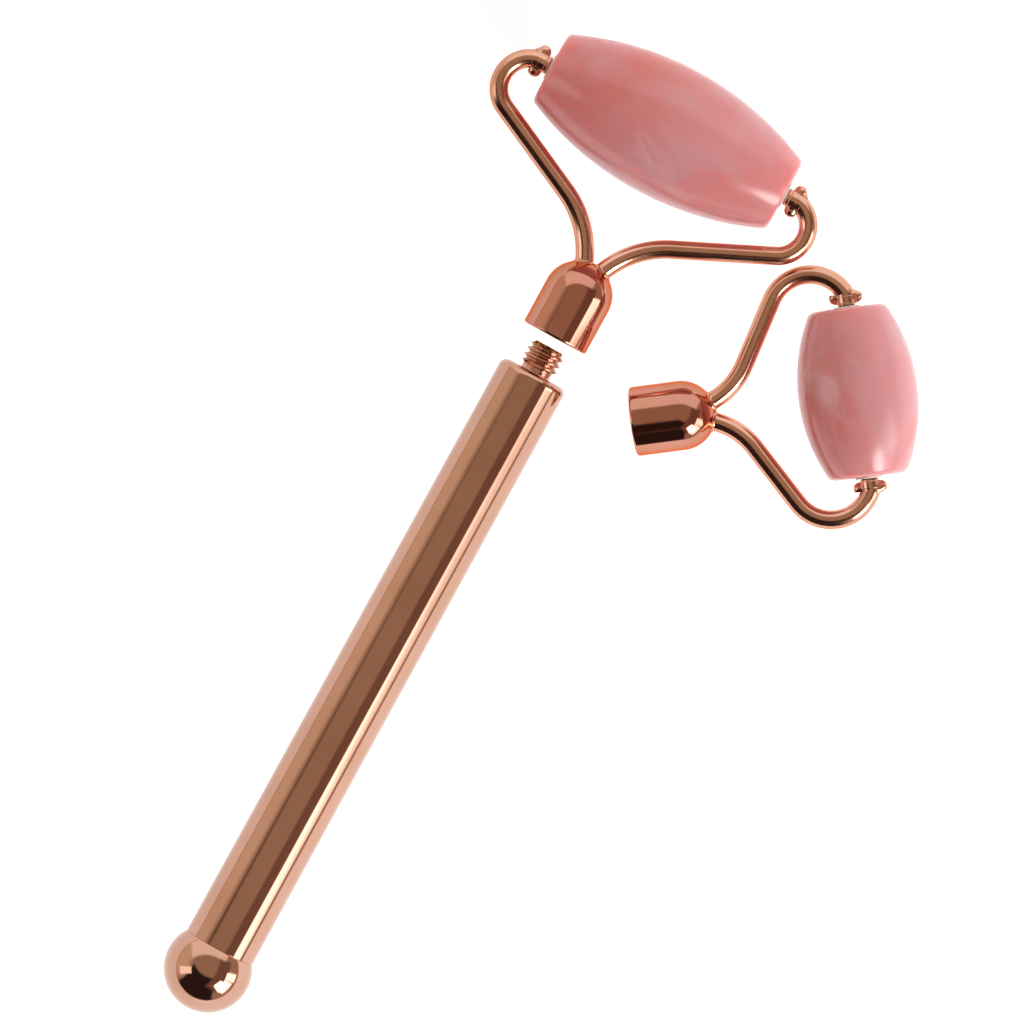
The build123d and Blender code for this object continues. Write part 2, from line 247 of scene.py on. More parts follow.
ball_seat = math.sqrt(BALL_RADIUS**2 - TUBE_FOOT_RADIUS**2)
seat_angle = math.atan2(ball_seat, TUBE_FOOT_RADIUS)
outline = []
for k in range(1, BALL_RINGS + 1):
    angle = -math.pi / 2 + (seat_angle + math.pi / 2) * k / BALL_RINGS
    outline.append((BALL_RADIUS * math.cos(angle), BALL_RADIUS * math.sin(angle)))
spigot_end = ball_seat + BALL_SPIGOT_LENGTH
outline += [
    (TUBE_FOOT_RADIUS - TUBE_FOOT_ROUND, ball_seat),
    (BALL_SPIGOT_RADIUS + BALL_SPIGOT_FILLET, ball_seat),
    (BALL_SPIGOT_RADIUS, ball_seat + BALL_SPIGOT_FILLET),
    (BALL_SPIGOT_RADIUS, spigot_end - BALL_SPIGOT_CHAMFER),
    (BALL_SPIGOT_RADIUS - BALL_SPIGOT_CHAMFER, spigot_end),
]
ball = turned("ball", outline, handle_place, FINE_SIDES)
ball.data.materials.append(
    rose_gold("rose gold, handle", handle_place, HANDLE_BRIGHT, HANDLE_DEEP)
)
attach(ball, "handle")
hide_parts("ball_end")

# ---------------------------------------------------------------------------------------------
# Handle tube: drawn brass tube, tapering a little to its top, closed there by an end wall with a
# generous rounding and a hole for the stud. Polished lengthwise before plating.
# ---------------------------------------------------------------------------------------------
TUBE_TOP_RADIUS = 5.45 * MM
TUBE_TOP_ROUND = 1.2 * MM
TUBE_BORE_RADIUS = 4.5 * MM
TUBE_END_WALL = 1.6 * MM
STUD_HOLE_RADIUS = 3.05 * MM
STUD_HOLE_ROUND = 0.08 * MM
TUBE_ROUNDING_STEPS = 12
POLISHED_LENGTHWISE = 0.12

outline = eased([
    (TUBE_BORE_RADIUS, ball_seat, 0),
    (TUBE_FOOT_RADIUS, ball_seat, TUBE_FOOT_ROUND),
    (TUBE_TOP_RADIUS, HANDLE_LENGTH, TUBE_TOP_ROUND),
    (STUD_HOLE_RADIUS, HANDLE_LENGTH, STUD_HOLE_ROUND),
    (STUD_HOLE_RADIUS, HANDLE_LENGTH - TUBE_END_WALL, 0),
    (TUBE_BORE_RADIUS, HANDLE_LENGTH - TUBE_END_WALL, 0),
], TUBE_ROUNDING_STEPS)
tube = turned("tube", outline, handle_place, FINE_SIDES, closed=True)
tube.data.materials.append(
    rose_gold("rose gold, tube", handle_place, HANDLE_BRIGHT, HANDLE_DEEP, POLISHED_LENGTHWISE)
)
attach(tube, "handle")
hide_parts("handle_tube")

# ---------------------------------------------------------------------------------------------
# Threaded stud: an M6 stud with a plain shank bonded in the tube's plug, an undercut where it
# leaves the tube, and a rolled thread with a chamfered tip. It is plated with the handle.
# ---------------------------------------------------------------------------------------------
THREAD_PITCH = 1.0 * MM
THREAD_CREST = 2.9 * MM
THREAD_DEPTH = 0.57 * MM
CREST_HALF_WIDTH = 0.12 * MM
FLANK_SLOPE = math.tan(math.radians(30))
STUD_LENGTH = 4.5 * MM
STUD_UNDERCUT = 0.7 * MM
STUD_TIP_CHAMFER = 0.7 * MM
STUD_SHANK = 13.6 * MM
STUD_SHANK_CHAMFER = 0.05 * MM
STUD_ROOT_STEP = 0.08 * MM
STUD_SIDES = 120
STUD_RINGS = 110
STUD_FIRST_RING = 0.015
STUD_BRIGHT = (0.62, 0.36, 0.27)
STUD_DEEP = (0.50, 0.26, 0.18)
thread_root = THREAD_CREST - THREAD_DEPTH


def off_crest(height, angle):
    """Distance along the axis from the middle of the nearest thread crest."""
    turns = height / THREAD_PITCH - angle / (2 * math.pi)
    return abs(turns - round(turns)) * THREAD_PITCH


def stud_radius(height, angle):
    """The rolled thread's surface, cut back by the tip's chamfer and the undercut's."""
    flank = (off_crest(height, angle) - CREST_HALF_WIDTH) / FLANK_SLOPE
    radius = min(THREAD_CREST, max(thread_root, THREAD_CREST - flank))
    tip = THREAD_CREST - STUD_TIP_CHAMFER + (STUD_LENGTH - height)
    runout = thread_root + max(0.0, height - STUD_UNDERCUT)
    return min(radius, tip, runout)


shank = [
    (THREAD_CREST, -STUD_SHANK),
    (THREAD_CREST, -STUD_SHANK_CHAMFER),
    (THREAD_CREST - STUD_SHANK_CHAMFER, 0),
    (thread_root + STUD_ROOT_STEP, 0),
]
rings = [level_ring(radius, height, STUD_SIDES) for radius, height in shank]
for step in range(STUD_RINGS + 1):
    height = STUD_LENGTH * (STUD_FIRST_RING + (1 - STUD_FIRST_RING) * step / STUD_RINGS)
    rings.append(level_ring(stud_radius, height, STUD_SIDES))
tube_top = handle_place @ Matrix.Translation((0, 0, HANDLE_LENGTH))
stud = skin("stud", rings, False, tube_top)
stud.data.materials.append(rose_gold("rose gold, stud", handle_place, STUD_BRIGHT, STUD_DEEP))
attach(stud, "handle")
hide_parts("threaded_stud")

# ---------------------------------------------------------------------------------------------
# Plug and thread inserts: turned brass sleeves, left unplated, with fine tool rings. The plug is
# bonded in the tube out of sight, and each insert sits a little back from its socket's rim.
# ---------------------------------------------------------------------------------------------
FRESH_BRASS = (0.78, 0.56, 0.25)
DULL_BRASS = (0.52, 0.34, 0.13)


def turned_brass(name, at):
    """Bare machined brass: yellow, slightly dulled, with the turning tool's fine rings."""
    material = bpy.data.materials.new(name)
    nodes, link, shader = wires(material)
    own = own_axes(nodes, link, at)
    dulled = between(nodes, link, spread(nodes, link, own, scale=300, detail=4), 0.4, 0.65)
    link(tinted(nodes, link, dulled, FRESH_BRASS, DULL_BRASS), shader.inputs["Base Color"])
    link(between(nodes, link, dulled, 0, 1, 0.2, 0.38), shader.inputs["Roughness"])
    tool_rings = nodes.new("ShaderNodeTexWave")
    tool_rings.bands_direction = "Z"
    tool_rings.inputs["Scale"].default_value = 1600
    tool_rings.inputs["Distortion"].default_value = 0.6
    link(own, tool_rings.inputs["Vector"])
    bumped(nodes, link, shader, tool_rings.outputs["Fac"], strength=0.3, deep=0.02 * MM)
    shader.inputs["Metallic"].default_value = 1.0
    return material


plug = frame["nodes"]["top_plug"]
plug_brass = turned_brass("turned brass, plug", handle_place)
for slot in plug.material_slots:
    slot.material = plug_brass
if not plug.material_slots:
    plug.data.materials.append(plug_brass)

INSERT_RADIUS = 4.0 * MM
INSERT_LENGTH = 7.5 * MM
INSERT_RECESS = 0.4 * MM
INSERT_RINGS = 120
LEAD_IN_RADIUS = 3.06 * MM
LEAD_IN_LENGTH = 1.0 * MM
LEAD_IN_STEP = 0.01 * MM
MOUTH_CHAMFER = 0.3 * MM
GROOVE_RADIUS = 3.02 * MM
MINOR_RADIUS = 2.45 * MM
FLANK_PLAY = 0.07 * MM
SEAT_GAP = 0.05 * MM
LARGE_AXIS_HEIGHT = 35.4 * MM
SMALL_AXIS_HEIGHT = 34.2 * MM

mounts = {mount["name"]: mount for mount in frame["record"]["mounts"]}
small_ahead = -Vector(mounts["small_head_thread"]["axis"])
places = {}
for head, spin, ahead, axis_height in (
    ("large", joints["large_stone_spin"], handle_ahead, LARGE_AXIS_HEIGHT),
    ("small", joints["small_stone_spin"], small_ahead, SMALL_AXIS_HEIGHT),
):
    places[head] = place(Vector(spin["pos_m"]) - ahead * axis_height, ahead, spin["axis"])


def groove_wall(height, angle):
    """The insert's threaded wall: its bore, cut to the groove wherever the stud's crest passes."""
    off = off_crest(height + SEAT_GAP, angle)
    flank = (off - CREST_HALF_WIDTH - FLANK_PLAY) / FLANK_SLOPE
    return min(GROOVE_RADIUS, max(MINOR_RADIUS, GROOVE_RADIUS - max(0.0, flank)))


insert_back = INSERT_RECESS + INSERT_LENGTH
lead_in_end = INSERT_RECESS + MOUTH_CHAMFER + LEAD_IN_LENGTH
insert_wall = [
    (INSERT_RADIUS, insert_back),
    (INSERT_RADIUS, INSERT_RECESS),
    (LEAD_IN_RADIUS + MOUTH_CHAMFER, INSERT_RECESS),
    (LEAD_IN_RADIUS, INSERT_RECESS + MOUTH_CHAMFER),
    (LEAD_IN_RADIUS, lead_in_end),
]
for head in ("large", "small"):
    rings = [level_ring(radius, height, STUD_SIDES) for radius, height in insert_wall]
    threaded = insert_back - lead_in_end - LEAD_IN_STEP
    for step in range(INSERT_RINGS + 1):
        height = lead_in_end + LEAD_IN_STEP + threaded * step / INSERT_RINGS
        rings.append(level_ring(groove_wall, height, STUD_SIDES))
    insert = skin(f"{head}_insert", rings, True, places[head])
    insert.data.materials.append(turned_brass(f"turned brass, {head} insert", places[head]))
    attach(insert, f"{head}_head")
    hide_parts(f"{head}_thread_insert")

# ---------------------------------------------------------------------------------------------
# Sockets: bell-shaped brass caps, straight at the skirt and domed behind, bored to take the
# insert. Polished with their arms soldered in and plated as one, a shade redder than the handle.
# ---------------------------------------------------------------------------------------------
SOCKET_RADIUS = 5.25 * MM
SOCKET_STRAIGHT = 7.3 * MM
SOCKET_RIM_ROUND = 0.4 * MM
SOCKET_BORE_RADIUS = 4.02 * MM
SOCKET_BORE_DEPTH = 8.2 * MM
SOCKET_MOUTH_ROUND = 0.15 * MM
SOCKET_FLOOR_ROUND = 0.1 * MM
SOCKET_FLOOR_CENTRE = 0.4 * MM
SOCKET_ROUNDING_STEPS = 10
DOME_RINGS = 64
HEAD_BRIGHT = (0.55, 0.26, 0.19)
HEAD_DEEP = (0.51, 0.225, 0.155)
HEAD_EDGE = (1.0, 0.42, 0.28)

for head in ("large", "small"):
    outline = eased([
        (SOCKET_FLOOR_CENTRE, SOCKET_BORE_DEPTH, 0),
        (SOCKET_BORE_RADIUS, SOCKET_BORE_DEPTH, SOCKET_FLOOR_ROUND),
        (SOCKET_BORE_RADIUS, 0, SOCKET_MOUTH_ROUND),
        (SOCKET_RADIUS, 0, SOCKET_RIM_ROUND),
        (SOCKET_RADIUS, SOCKET_STRAIGHT, 0),
    ], SOCKET_ROUNDING_STEPS)
    for k in range(1, DOME_RINGS):
        angle = math.pi / 2 * k / DOME_RINGS
        radius, rise = SOCKET_RADIUS * math.cos(angle), SOCKET_RADIUS * math.sin(angle)
        outline.append(Vector((radius, SOCKET_STRAIGHT + rise)))
    bell = turned(f"{head}_bell", outline, places[head], FINE_SIDES)
    plating = rose_gold(
        f"rose gold, {head} bell", places[head], HEAD_BRIGHT, HEAD_DEEP, edge=HEAD_EDGE
    )
    bell.data.materials.append(plating)
    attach(bell, f"{head}_head")
    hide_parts(f"{head}_socket")

# ---------------------------------------------------------------------------------------------
# Arms: 2.8 mm brass wire, bent by hand and soldered into the dome with a small bright fillet. The
# free end is pinched into two ears and turned down to a neck and a pin that carries the stone.
# ---------------------------------------------------------------------------------------------
WIRE_RADIUS = 1.4 * MM
WIRE_SIDES = 64
ROOT_OFFSET = 1.6 * MM
ROOT_LEAN = math.radians(25)
BURIED = 1.2 * MM
SOLDER = 0.4 * MM
SOLDER_RINGS = 36
STRAIGHT_FROM_DOME = 0.6 * MM
TAIL_RADIUS = 2.5 * MM
RING_SPACING = 0.16 * MM
RING_TURN = math.radians(3)
EAR_RADIUS = 1.0 * MM
EAR_HALF_THICKNESS = 0.85 * MM
EAR_OFFSET = 1.55 * MM
EAR_SETBACK = 0.15 * MM
EAR_BLEND = 0.12 * MM
EAR_RINGS = 64
EAR_LEVEL_RINGS = 12
PINCH = 0.25 * MM
PINCH_HEADING = -math.pi / 2.6
NECK_RADIUS = 1.35 * MM
NECK_BLEND = 0.2 * MM
NECK_CHAMFER = 0.04 * MM
NECK_START = 0.03 * MM
NECK_FIRST_RING = 0.1 * MM
PIN_RADIUS = 1.2 * MM
PIN_LENGTH = 6.0 * MM
PIN_CHAMFER = 0.15 * MM
FLANGE_THICKNESS = 0.25 * MM
SIDE_PLAY = 0.12 * MM
ARM_BRIGHT = (0.69, 0.39, 0.28)
ARM_DEEP = (0.61, 0.33, 0.225)
SATIN_POLISH = (0.13, 0.21)
HEADS = {
    "large": {
        "axis_height": LARGE_AXIS_HEIGHT,
        "stone_half": 20.0 * MM,
        "belly": 10.1 * MM,
        "barrel": 48.0 * MM,
        "end_round": 1.0 * MM,
        "ear_gap": 0.8 * MM,
        "root_bend": 16.0 * MM,
        "shoulder": 4.6 * MM,
        "tail_turn": math.radians(10),
    },
    "small": {
        "axis_height": SMALL_AXIS_HEIGHT,
        "stone_half": 12.8 * MM,
        "belly": 9.05 * MM,
        "barrel": 27.0 * MM,
        "end_round": 1.4 * MM,
        "ear_gap": 0.5 * MM,
        "root_bend": 12.0 * MM,
        "shoulder": 6.3 * MM,
        "tail_turn": math.radians(30),
    },
}


def wire_line(size):
    """The wire's middle line as (across, along, heading) steps from inside the dome to the ears."""
    ear_face = size["stone_half"] + size["ear_gap"]
    root_height = SOCKET_STRAIGHT + math.sqrt(SOCKET_RADIUS**2 - ROOT_OFFSET**2)
    bend, shoulder, tail = size["root_bend"], size["shoulder"], size["tail_turn"]
    rise = size["axis_height"] - root_height
    reach = ear_face + EAR_RADIUS - ROOT_OFFSET
    along = rise + bend * math.sin(ROOT_LEAN) - shoulder * math.cos(tail)
    along -= TAIL_RADIUS * (1 - math.cos(tail))
    across = reach - bend * math.cos(ROOT_LEAN) - shoulder * math.sin(tail)
    across += TAIL_RADIUS * math.sin(tail)
    run = math.sqrt(along**2 + across**2 - (bend + shoulder) ** 2)
    flare = math.atan2(across, along) + math.atan2(bend + shoulder, run)
    stretches = [
        (BURIED + STRAIGHT_FROM_DOME, 0.0, SOLDER_RINGS),
        ((bend * (flare - ROOT_LEAN)) - STRAIGHT_FROM_DOME, flare - ROOT_LEAN, 2),
        (run, 0.0, 2),
        (shoulder * (flare + math.pi / 2 - tail), -(flare + math.pi / 2 - tail), 2),
        (TAIL_RADIUS * tail, -tail, 2),
    ]
    x = ROOT_OFFSET - BURIED * math.sin(ROOT_LEAN)
    z = root_height - BURIED * math.cos(ROOT_LEAN)
    heading = ROOT_LEAN
    steps = [(x, z, heading)]
    for length, turning, fewest in stretches:
        count = max(fewest, math.ceil(length / RING_SPACING), math.ceil(abs(turning) / RING_TURN))
        for _ in range(count):
            heading += turning / count / 2
            x += math.sin(heading) * length / count
            z += math.cos(heading) * length / count
            heading += turning / count / 2
            steps.append((x, z, heading))
    return steps


def soft_union(one, other, blend):
    """Two distances merged with a small rounding between them."""
    share = max(0.0, min(1.0, 0.5 + 0.5 * (other - one) / blend))
    return other + (one - other) * share - blend * share * (1 - share)


def ear_distance(across, thick, height, size):
    """Signed distance, near enough, from the wire's pinched end, its ears and its neck."""
    ear_face = size["stone_half"] + size["ear_gap"]
    middle = ear_face + EAR_SETBACK + EAR_RADIUS
    round_off = math.hypot(thick, height)
    wire = max(round_off - WIRE_RADIUS, ear_face + PINCH - across)
    neck = max(round_off - NECK_RADIUS, across - middle)
    body = soft_union(wire, neck, NECK_BLEND)
    for side in (1, -1):
        level = (height - side * EAR_OFFSET) / EAR_RADIUS
        off = Vector(((across - middle) / EAR_RADIUS, thick / EAR_HALF_THICKNESS, level))
        body = soft_union(body, (off.length - 1) * EAR_HALF_THICKNESS, EAR_BLEND)
    return body


def end_radius(across, angle, size):
    """How far the pinched end reaches at an angle round the wire: stepped inward, then halved."""
    furthest, stride, strides, halvings = 2.56 * MM, 0.08 * MM, 24, 10
    thick, height = math.sin(angle), math.cos(angle)
    low = furthest
    for _ in range(strides):
        if ear_distance(across, thick * low, height * low, size) <= 0:
            break
        low -= stride
    high = low + stride
    for _ in range(halvings):
        half = (low + high) / 2
        if ear_distance(across, thick * half, height * half, size) > 0:
            high = half
        else:
            low = half
    return low


angles = [2 * math.pi * k / WIRE_SIDES for k in range(WIRE_SIDES)]
dome = Vector((0, 0, SOCKET_STRAIGHT))
for head, size in HEADS.items():
    ear_face = size["stone_half"] + size["ear_gap"]
    ears_end = ear_face + EAR_SETBACK + 2 * EAR_RADIUS + PINCH
    rings = []
    for x, z, heading in wire_line(size):
        if x < ears_end and heading < PINCH_HEADING:
            break
        outward = Vector((math.cos(heading), 0, -math.sin(heading)))
        ring = []
        for angle in angles:
            around = outward * math.cos(angle) + Vector((0, 1, 0)) * math.sin(angle)
            point = Vector((x, 0, z)) + around * WIRE_RADIUS
            clear = (point - dome).length - SOCKET_RADIUS
            if clear < SOLDER:
                depth = 1 - max(0.0, clear) / SOLDER
                point += around * SOLDER * (1 - math.sqrt(max(0.0, 1 - depth * depth)))
            ring.append(point)
        rings.append(ring)
    axis_height = size["axis_height"]
    stop = ear_face - NECK_START
    for step in range(EAR_RINGS + 1):
        across = x + (stop - x) * step / EAR_RINGS
        level = z + (axis_height - z) * min(1.0, step / EAR_LEVEL_RINGS)
        ring = []
        for angle in angles:
            reach = end_radius(max(across, ear_face), angle, size)
            ring.append(Vector((across, math.sin(angle) * reach, level + math.cos(angle) * reach)))
        rings.append(ring)
    neck_end = size["stone_half"] + FLANGE_THICKNESS + SIDE_PLAY
    pin_end = size["stone_half"] - PIN_LENGTH
    for radius, across in (
        (NECK_RADIUS, ear_face - NECK_FIRST_RING),
        (NECK_RADIUS, neck_end + NECK_CHAMFER),
        (NECK_RADIUS - NECK_CHAMFER, neck_end),
        (PIN_RADIUS, neck_end),
        (PIN_RADIUS, pin_end + PIN_CHAMFER),
        (PIN_RADIUS - PIN_CHAMFER, pin_end),
    ):
        rings.append([
            Vector((across, math.sin(angle) * radius, axis_height + math.cos(angle) * radius))
            for angle in angles
        ])
    for side, name in ((1, "left"), (-1, "right")):
        mirrored = [[Vector((p.x * side, p.y, p.z)) for p in ring[::side]] for ring in rings]
        arm = skin(f"{head}_{name}_wire", mirrored, False, places[head])
        satin = rose_gold(
            f"rose gold, {head} {name} wire", places[head], ARM_BRIGHT, ARM_DEEP,
            edge=HEAD_EDGE, polish=SATIN_POLISH,
        )
        arm.data.materials.append(satin)
        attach(arm, f"{head}_head")
        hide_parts(f"{head}_{name}_arm")

# ---------------------------------------------------------------------------------------------
# Stones: rose quartz, ground to a barrel and drilled through, then tumbled to a wet-looking polish.
# The quartz is cloudy: salmon in deep patches, pale and milky along old healed cracks. The salmon deepens toward
# one side of each stone, and that one-sided deepening is painted shade.
# ---------------------------------------------------------------------------------------------
STONE_BORE_RADIUS = 1.70 * MM
BORE_FLARE_WIDE = 0.25 * MM
BORE_FLARE_DEEP = 0.12 * MM
END_FACE_SHARE = 0.97
STONE_SIDES = 160
FLANK_RINGS = 40
ROUNDING_RINGS = 14
GROUND_BEYOND = 3 * MM
GRINDING_DEPTH = 0.06 * MM
GRINDING_SCALE = 55
GRINDING_LEVEL = 0.9
DEEP_SALMON = (0.69, 0.195, 0.18)
ROSE = (0.675, 0.265, 0.28)
PALE_ROSE = (0.65, 0.335, 0.37)
MILK = (0.74, 0.49, 0.53)
QUARTZ = {
    # The clear offsets set the side toward which each stone's salmon deepens; that deepening is painted shade.
    "large": {"ground_at": (3.1, 7.7, 1.9), "cut_at": (0.011, 0.003, 0.02), "clear": (0.9, 0.4)},
    "small": {"ground_at": (9.2, 0.4, 5.5), "cut_at": (0.09, 0.05, 0.031), "clear": (0, -0.5)},
}


def how_far(nodes, link, coordinate, direction):
    """How far a coordinate goes along a direction."""
    dot = nodes.new("ShaderNodeVectorMath")
    dot.operation = "DOT_PRODUCT"
    link(coordinate, dot.inputs[0])
    dot.inputs[1].default_value = direction
    return dot.outputs["Value"]


def rose_quartz(name, at, cut_at, painted_shade_side):
    """Polished rose quartz with clouds, milky veils and fine healed cracks, its salmon deepened toward one side as
    painted shade.
    """
    material = bpy.data.materials.new(name)
    nodes, link, shader = wires(material)
    own = own_axes(nodes, link, at)
    rough_block = nodes.new("ShaderNodeMapping")
    rough_block.inputs["Location"].default_value = cut_at
    rough_block.inputs["Rotation"].default_value = (0.3, 0.7, 0.2)
    link(own, rough_block.inputs["Vector"])
    body = rough_block.outputs["Vector"]
    clouds = spread(nodes, link, body, scale=70, detail=4, warp=0.6)
    colour = tinted(nodes, link, between(nodes, link, clouds, 0.36, 0.64), ROSE, PALE_ROSE)
    # Painted shade: the salmon deepens across the stone toward one side, as light falling from the other side
    # would leave it.
    toward_painted_shade = between(nodes, link, how_far(nodes, link, own, painted_shade_side), -0.6, 1.0)
    patches = spread(nodes, link, body, scale=95, detail=3, warp=0.4)
    patches = between(nodes, link, patches, 0.34, 0.60, to_low=0.35, to_high=1.0)
    depth = reckoned(nodes, link, "MULTIPLY", toward_painted_shade, patches)
    colour = tinted(nodes, link, depth, colour, DEEP_SALMON)
    veil = spread(nodes, link, body, scale=85, detail=4, size=(0.6, 1.2, 1), warp=1.0)
    folded = reckoned(nodes, link, "ABSOLUTE", reckoned(nodes, link, "SUBTRACT", veil, 0.5))
    thin = between(nodes, link, folded, 0.0, 0.07, to_low=0.32, to_high=0.0)
    where = between(nodes, link, spread(nodes, link, body, scale=45, detail=2), 0.45, 0.62)
    milky = reckoned(nodes, link, "MULTIPLY", thin, where)
    colour = tinted(nodes, link, milky, colour, MILK)
    link(colour, shader.inputs["Base Color"])
    tumbled = spread(nodes, link, own, scale=500, detail=3)
    tumbled = between(nodes, link, tumbled, 0.35, 0.7, to_low=0.16, to_high=0.26)
    link(tumbled, shader.inputs["Roughness"])
    pits = spread(nodes, link, own, scale=420, detail=3)
    bumped(nodes, link, shader, pits, strength=0.12, deep=0.03 * MM)
    shader.inputs["IOR"].default_value = 1.54
    shader.inputs["Subsurface Weight"].default_value = 0.8
    shader.inputs["Subsurface Radius"].default_value = (3.0, 1.0, 0.9)
    shader.inputs["Subsurface Scale"].default_value = 1.8 * MM
    return material


for head, size in HEADS.items():
    half, belly = size["stone_half"], size["belly"]
    barrel, ease = size["barrel"], size["end_round"]
    hub = barrel - belly
    arc_angle = math.asin((half - ease) / (barrel - ease))
    corner = (half - ease, (barrel - ease) * math.cos(arc_angle) - hub)
    outline = []
    for k in range(2 * FLANK_RINGS + 1):
        angle = arc_angle * (k / FLANK_RINGS - 1)
        outline.append((barrel * math.sin(angle), barrel * math.cos(angle) - hub))
    right_end = []
    for k in range(1, ROUNDING_RINGS + 1):
        angle = arc_angle + (math.pi / 2 - arc_angle) * k / ROUNDING_RINGS
        right_end.append((corner[0] + ease * math.sin(angle), corner[1] + ease * math.cos(angle)))
    right_end += [
        (half, corner[1] * END_FACE_SHARE),
        (half, STONE_BORE_RADIUS + BORE_FLARE_WIDE),
        (half - BORE_FLARE_DEEP, STONE_BORE_RADIUS),
    ]
    outline += right_end + [(-x, radius) for x, radius in reversed(right_end)]
    quartz = QUARTZ[head]
    rings = []
    for x, radius in outline:
        ring = []
        for k in range(STONE_SIDES):
            angle = 2 * math.pi * k / STONE_SIDES
            around = Vector((0, math.sin(angle), math.cos(angle)))
            point = Vector((x, 0, 0)) + around * radius
            if radius > GROUND_BEYOND:
                ground = noise.noise(point * GRINDING_SCALE + Vector(quartz["ground_at"]))
                point -= around * (GRINDING_DEPTH * (ground + GRINDING_LEVEL))
            ring.append(point)
        rings.append(ring)
    centre = places[head] @ Matrix.Translation((0, 0, size["axis_height"]))
    stone = skin(f"{head}_quartz", rings, True, centre)
    painted_shade_side = (quartz["clear"][0] / half, 0, quartz["clear"][1] / belly)
    stone.data.materials.append(
        rose_quartz(f"rose quartz, {head}", centre, quartz["cut_at"], painted_shade_side)
    )
    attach(stone, f"{head}_roller")
    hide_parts(f"{head}_stone")

# ---------------------------------------------------------------------------------------------
# Bushes: moulded white nylon liners pressed into both ends of each stone, with a thin flange that
# keeps the wire's shoulder off the quartz. The pins turn in them dry.
# ---------------------------------------------------------------------------------------------
BUSH_RADIUS = 1.66 * MM
BUSH_HOLE_RADIUS = 1.24 * MM
BUSH_HOLE_ROUND = 0.05 * MM
BUSH_LENGTH = 6.5 * MM
BUSH_FOOT_ROUND = 0.08 * MM
BUSH_SIDES = 72
BUSH_ROUNDING_STEPS = 5
FLANGE_RADIUS = 2.0 * MM
FLANGE_BACK_ROUND = 0.04 * MM
FLANGE_FRONT_ROUND = 0.1 * MM
NYLON = (0.86, 0.82, 0.76)
SHADED_NYLON = (0.78, 0.73, 0.67)


def white_nylon(name, at):
    """Natural nylon: milky, soft sheen, faint mould mottle."""
    material = bpy.data.materials.new(name)
    nodes, link, shader = wires(material)
    own = own_axes(nodes, link, at)
    mottle = between(nodes, link, spread(nodes, link, own, scale=900, detail=3), 0.35, 0.65)
    link(tinted(nodes, link, mottle, NYLON, SHADED_NYLON), shader.inputs["Base Color"])
    link(between(nodes, link, mottle, 0, 1, 0.32, 0.48), shader.inputs["Roughness"])
    bumped(nodes, link, shader, mottle, strength=0.15, deep=0.02 * MM)
    shader.inputs["Subsurface Weight"].default_value = 0.3
    shader.inputs["Subsurface Radius"].default_value = (1.0, 0.9, 0.8)
    shader.inputs["Subsurface Scale"].default_value = 0.4 * MM
    return material


for head, size in HEADS.items():
    half = size["stone_half"]
    outline = eased([
        (BUSH_HOLE_RADIUS, half - BUSH_LENGTH, 0),
        (BUSH_RADIUS, half - BUSH_LENGTH, BUSH_FOOT_ROUND),
        (BUSH_RADIUS, half, 0),
        (FLANGE_RADIUS, half, FLANGE_BACK_ROUND),
        (FLANGE_RADIUS, half + FLANGE_THICKNESS, FLANGE_FRONT_ROUND),
        (BUSH_HOLE_RADIUS, half + FLANGE_THICKNESS, BUSH_HOLE_ROUND),
    ], BUSH_ROUNDING_STEPS)
    for side, name in ((1, "left"), (-1, "right")):
        facing = Matrix.Rotation(side * math.pi / 2, 4, "Y")
        centre = places[head] @ Matrix.Translation((0, 0, size["axis_height"])) @ facing
        bush = turned(f"{head}_{name}_liner", outline, centre, BUSH_SIDES, closed=True)
        bush.data.materials.append(white_nylon(f"white nylon, {head} {name}", centre))
        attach(bush, f"{head}_roller")
        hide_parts(f"{head}_{name}_bush")

# ---------------------------------------------------------------------------------------------
# Studio: a glowing white paper table in a warm dim room, a soft box in two panes on the handle's
# right, a pale wall on its left, a white sheet ahead of the heads and a dark doorway behind the
# ball. The table's glow dims toward the handle's left: a painted shade. The camera looks straight
# down through a long lens.
# ---------------------------------------------------------------------------------------------
TABLE_HALF = 4.0
table_mesh = bpy.data.meshes.new("paper_table")
table_sides = ((-1, -1), (1, -1), (1, 1), (-1, 1))
table_corners = [(x * TABLE_HALF, y * TABLE_HALF, 0) for x, y in table_sides]
table_mesh.from_pydata(table_corners, [], [(0, 1, 2, 3)])
table = bpy.data.objects.new("paper_table", table_mesh)
bpy.context.scene.collection.objects.link(table)
paper = bpy.data.materials.new("white paper, glow with painted shade")
nodes, link, shader = wires(paper)
shader.inputs["Base Color"].default_value = (0.3, 0.3, 0.3, 1)
shader.inputs["Roughness"].default_value = 1.0
shader.inputs["Specular IOR Level"].default_value = 0.0
shader.inputs["Emission Color"].default_value = (1, 1, 1, 1)
across_table = nodes.new("ShaderNodeSeparateXYZ")
link(nodes.new("ShaderNodeTexCoord").outputs["Object"], across_table.inputs["Vector"])
# Painted shade: the paper glows less toward the handle's left, standing in for shade on the table there.
glow_dimmed_by_painted_shade = between(nodes, link, across_table.outputs["Y"], -0.02, 0.05, to_low=1.08, to_high=0.84)
link(glow_dimmed_by_painted_shade, shader.inputs["Emission Strength"])
table_mesh.materials.append(paper)

world = bpy.data.worlds.new("studio")
bpy.context.scene.world = world
world.use_nodes = True
nodes, link = world.node_tree.nodes, world.node_tree.links.new
looking = nodes.new("ShaderNodeTexCoord").outputs["Generated"]


def heading_of(degrees_round, degrees_up):
    """A direction from degrees round the table, counted from the handle's own, and degrees up."""
    level, up = math.radians(degrees_round), math.radians(degrees_up)
    return (math.cos(up) * math.cos(level), math.cos(up) * math.sin(level), math.sin(up))


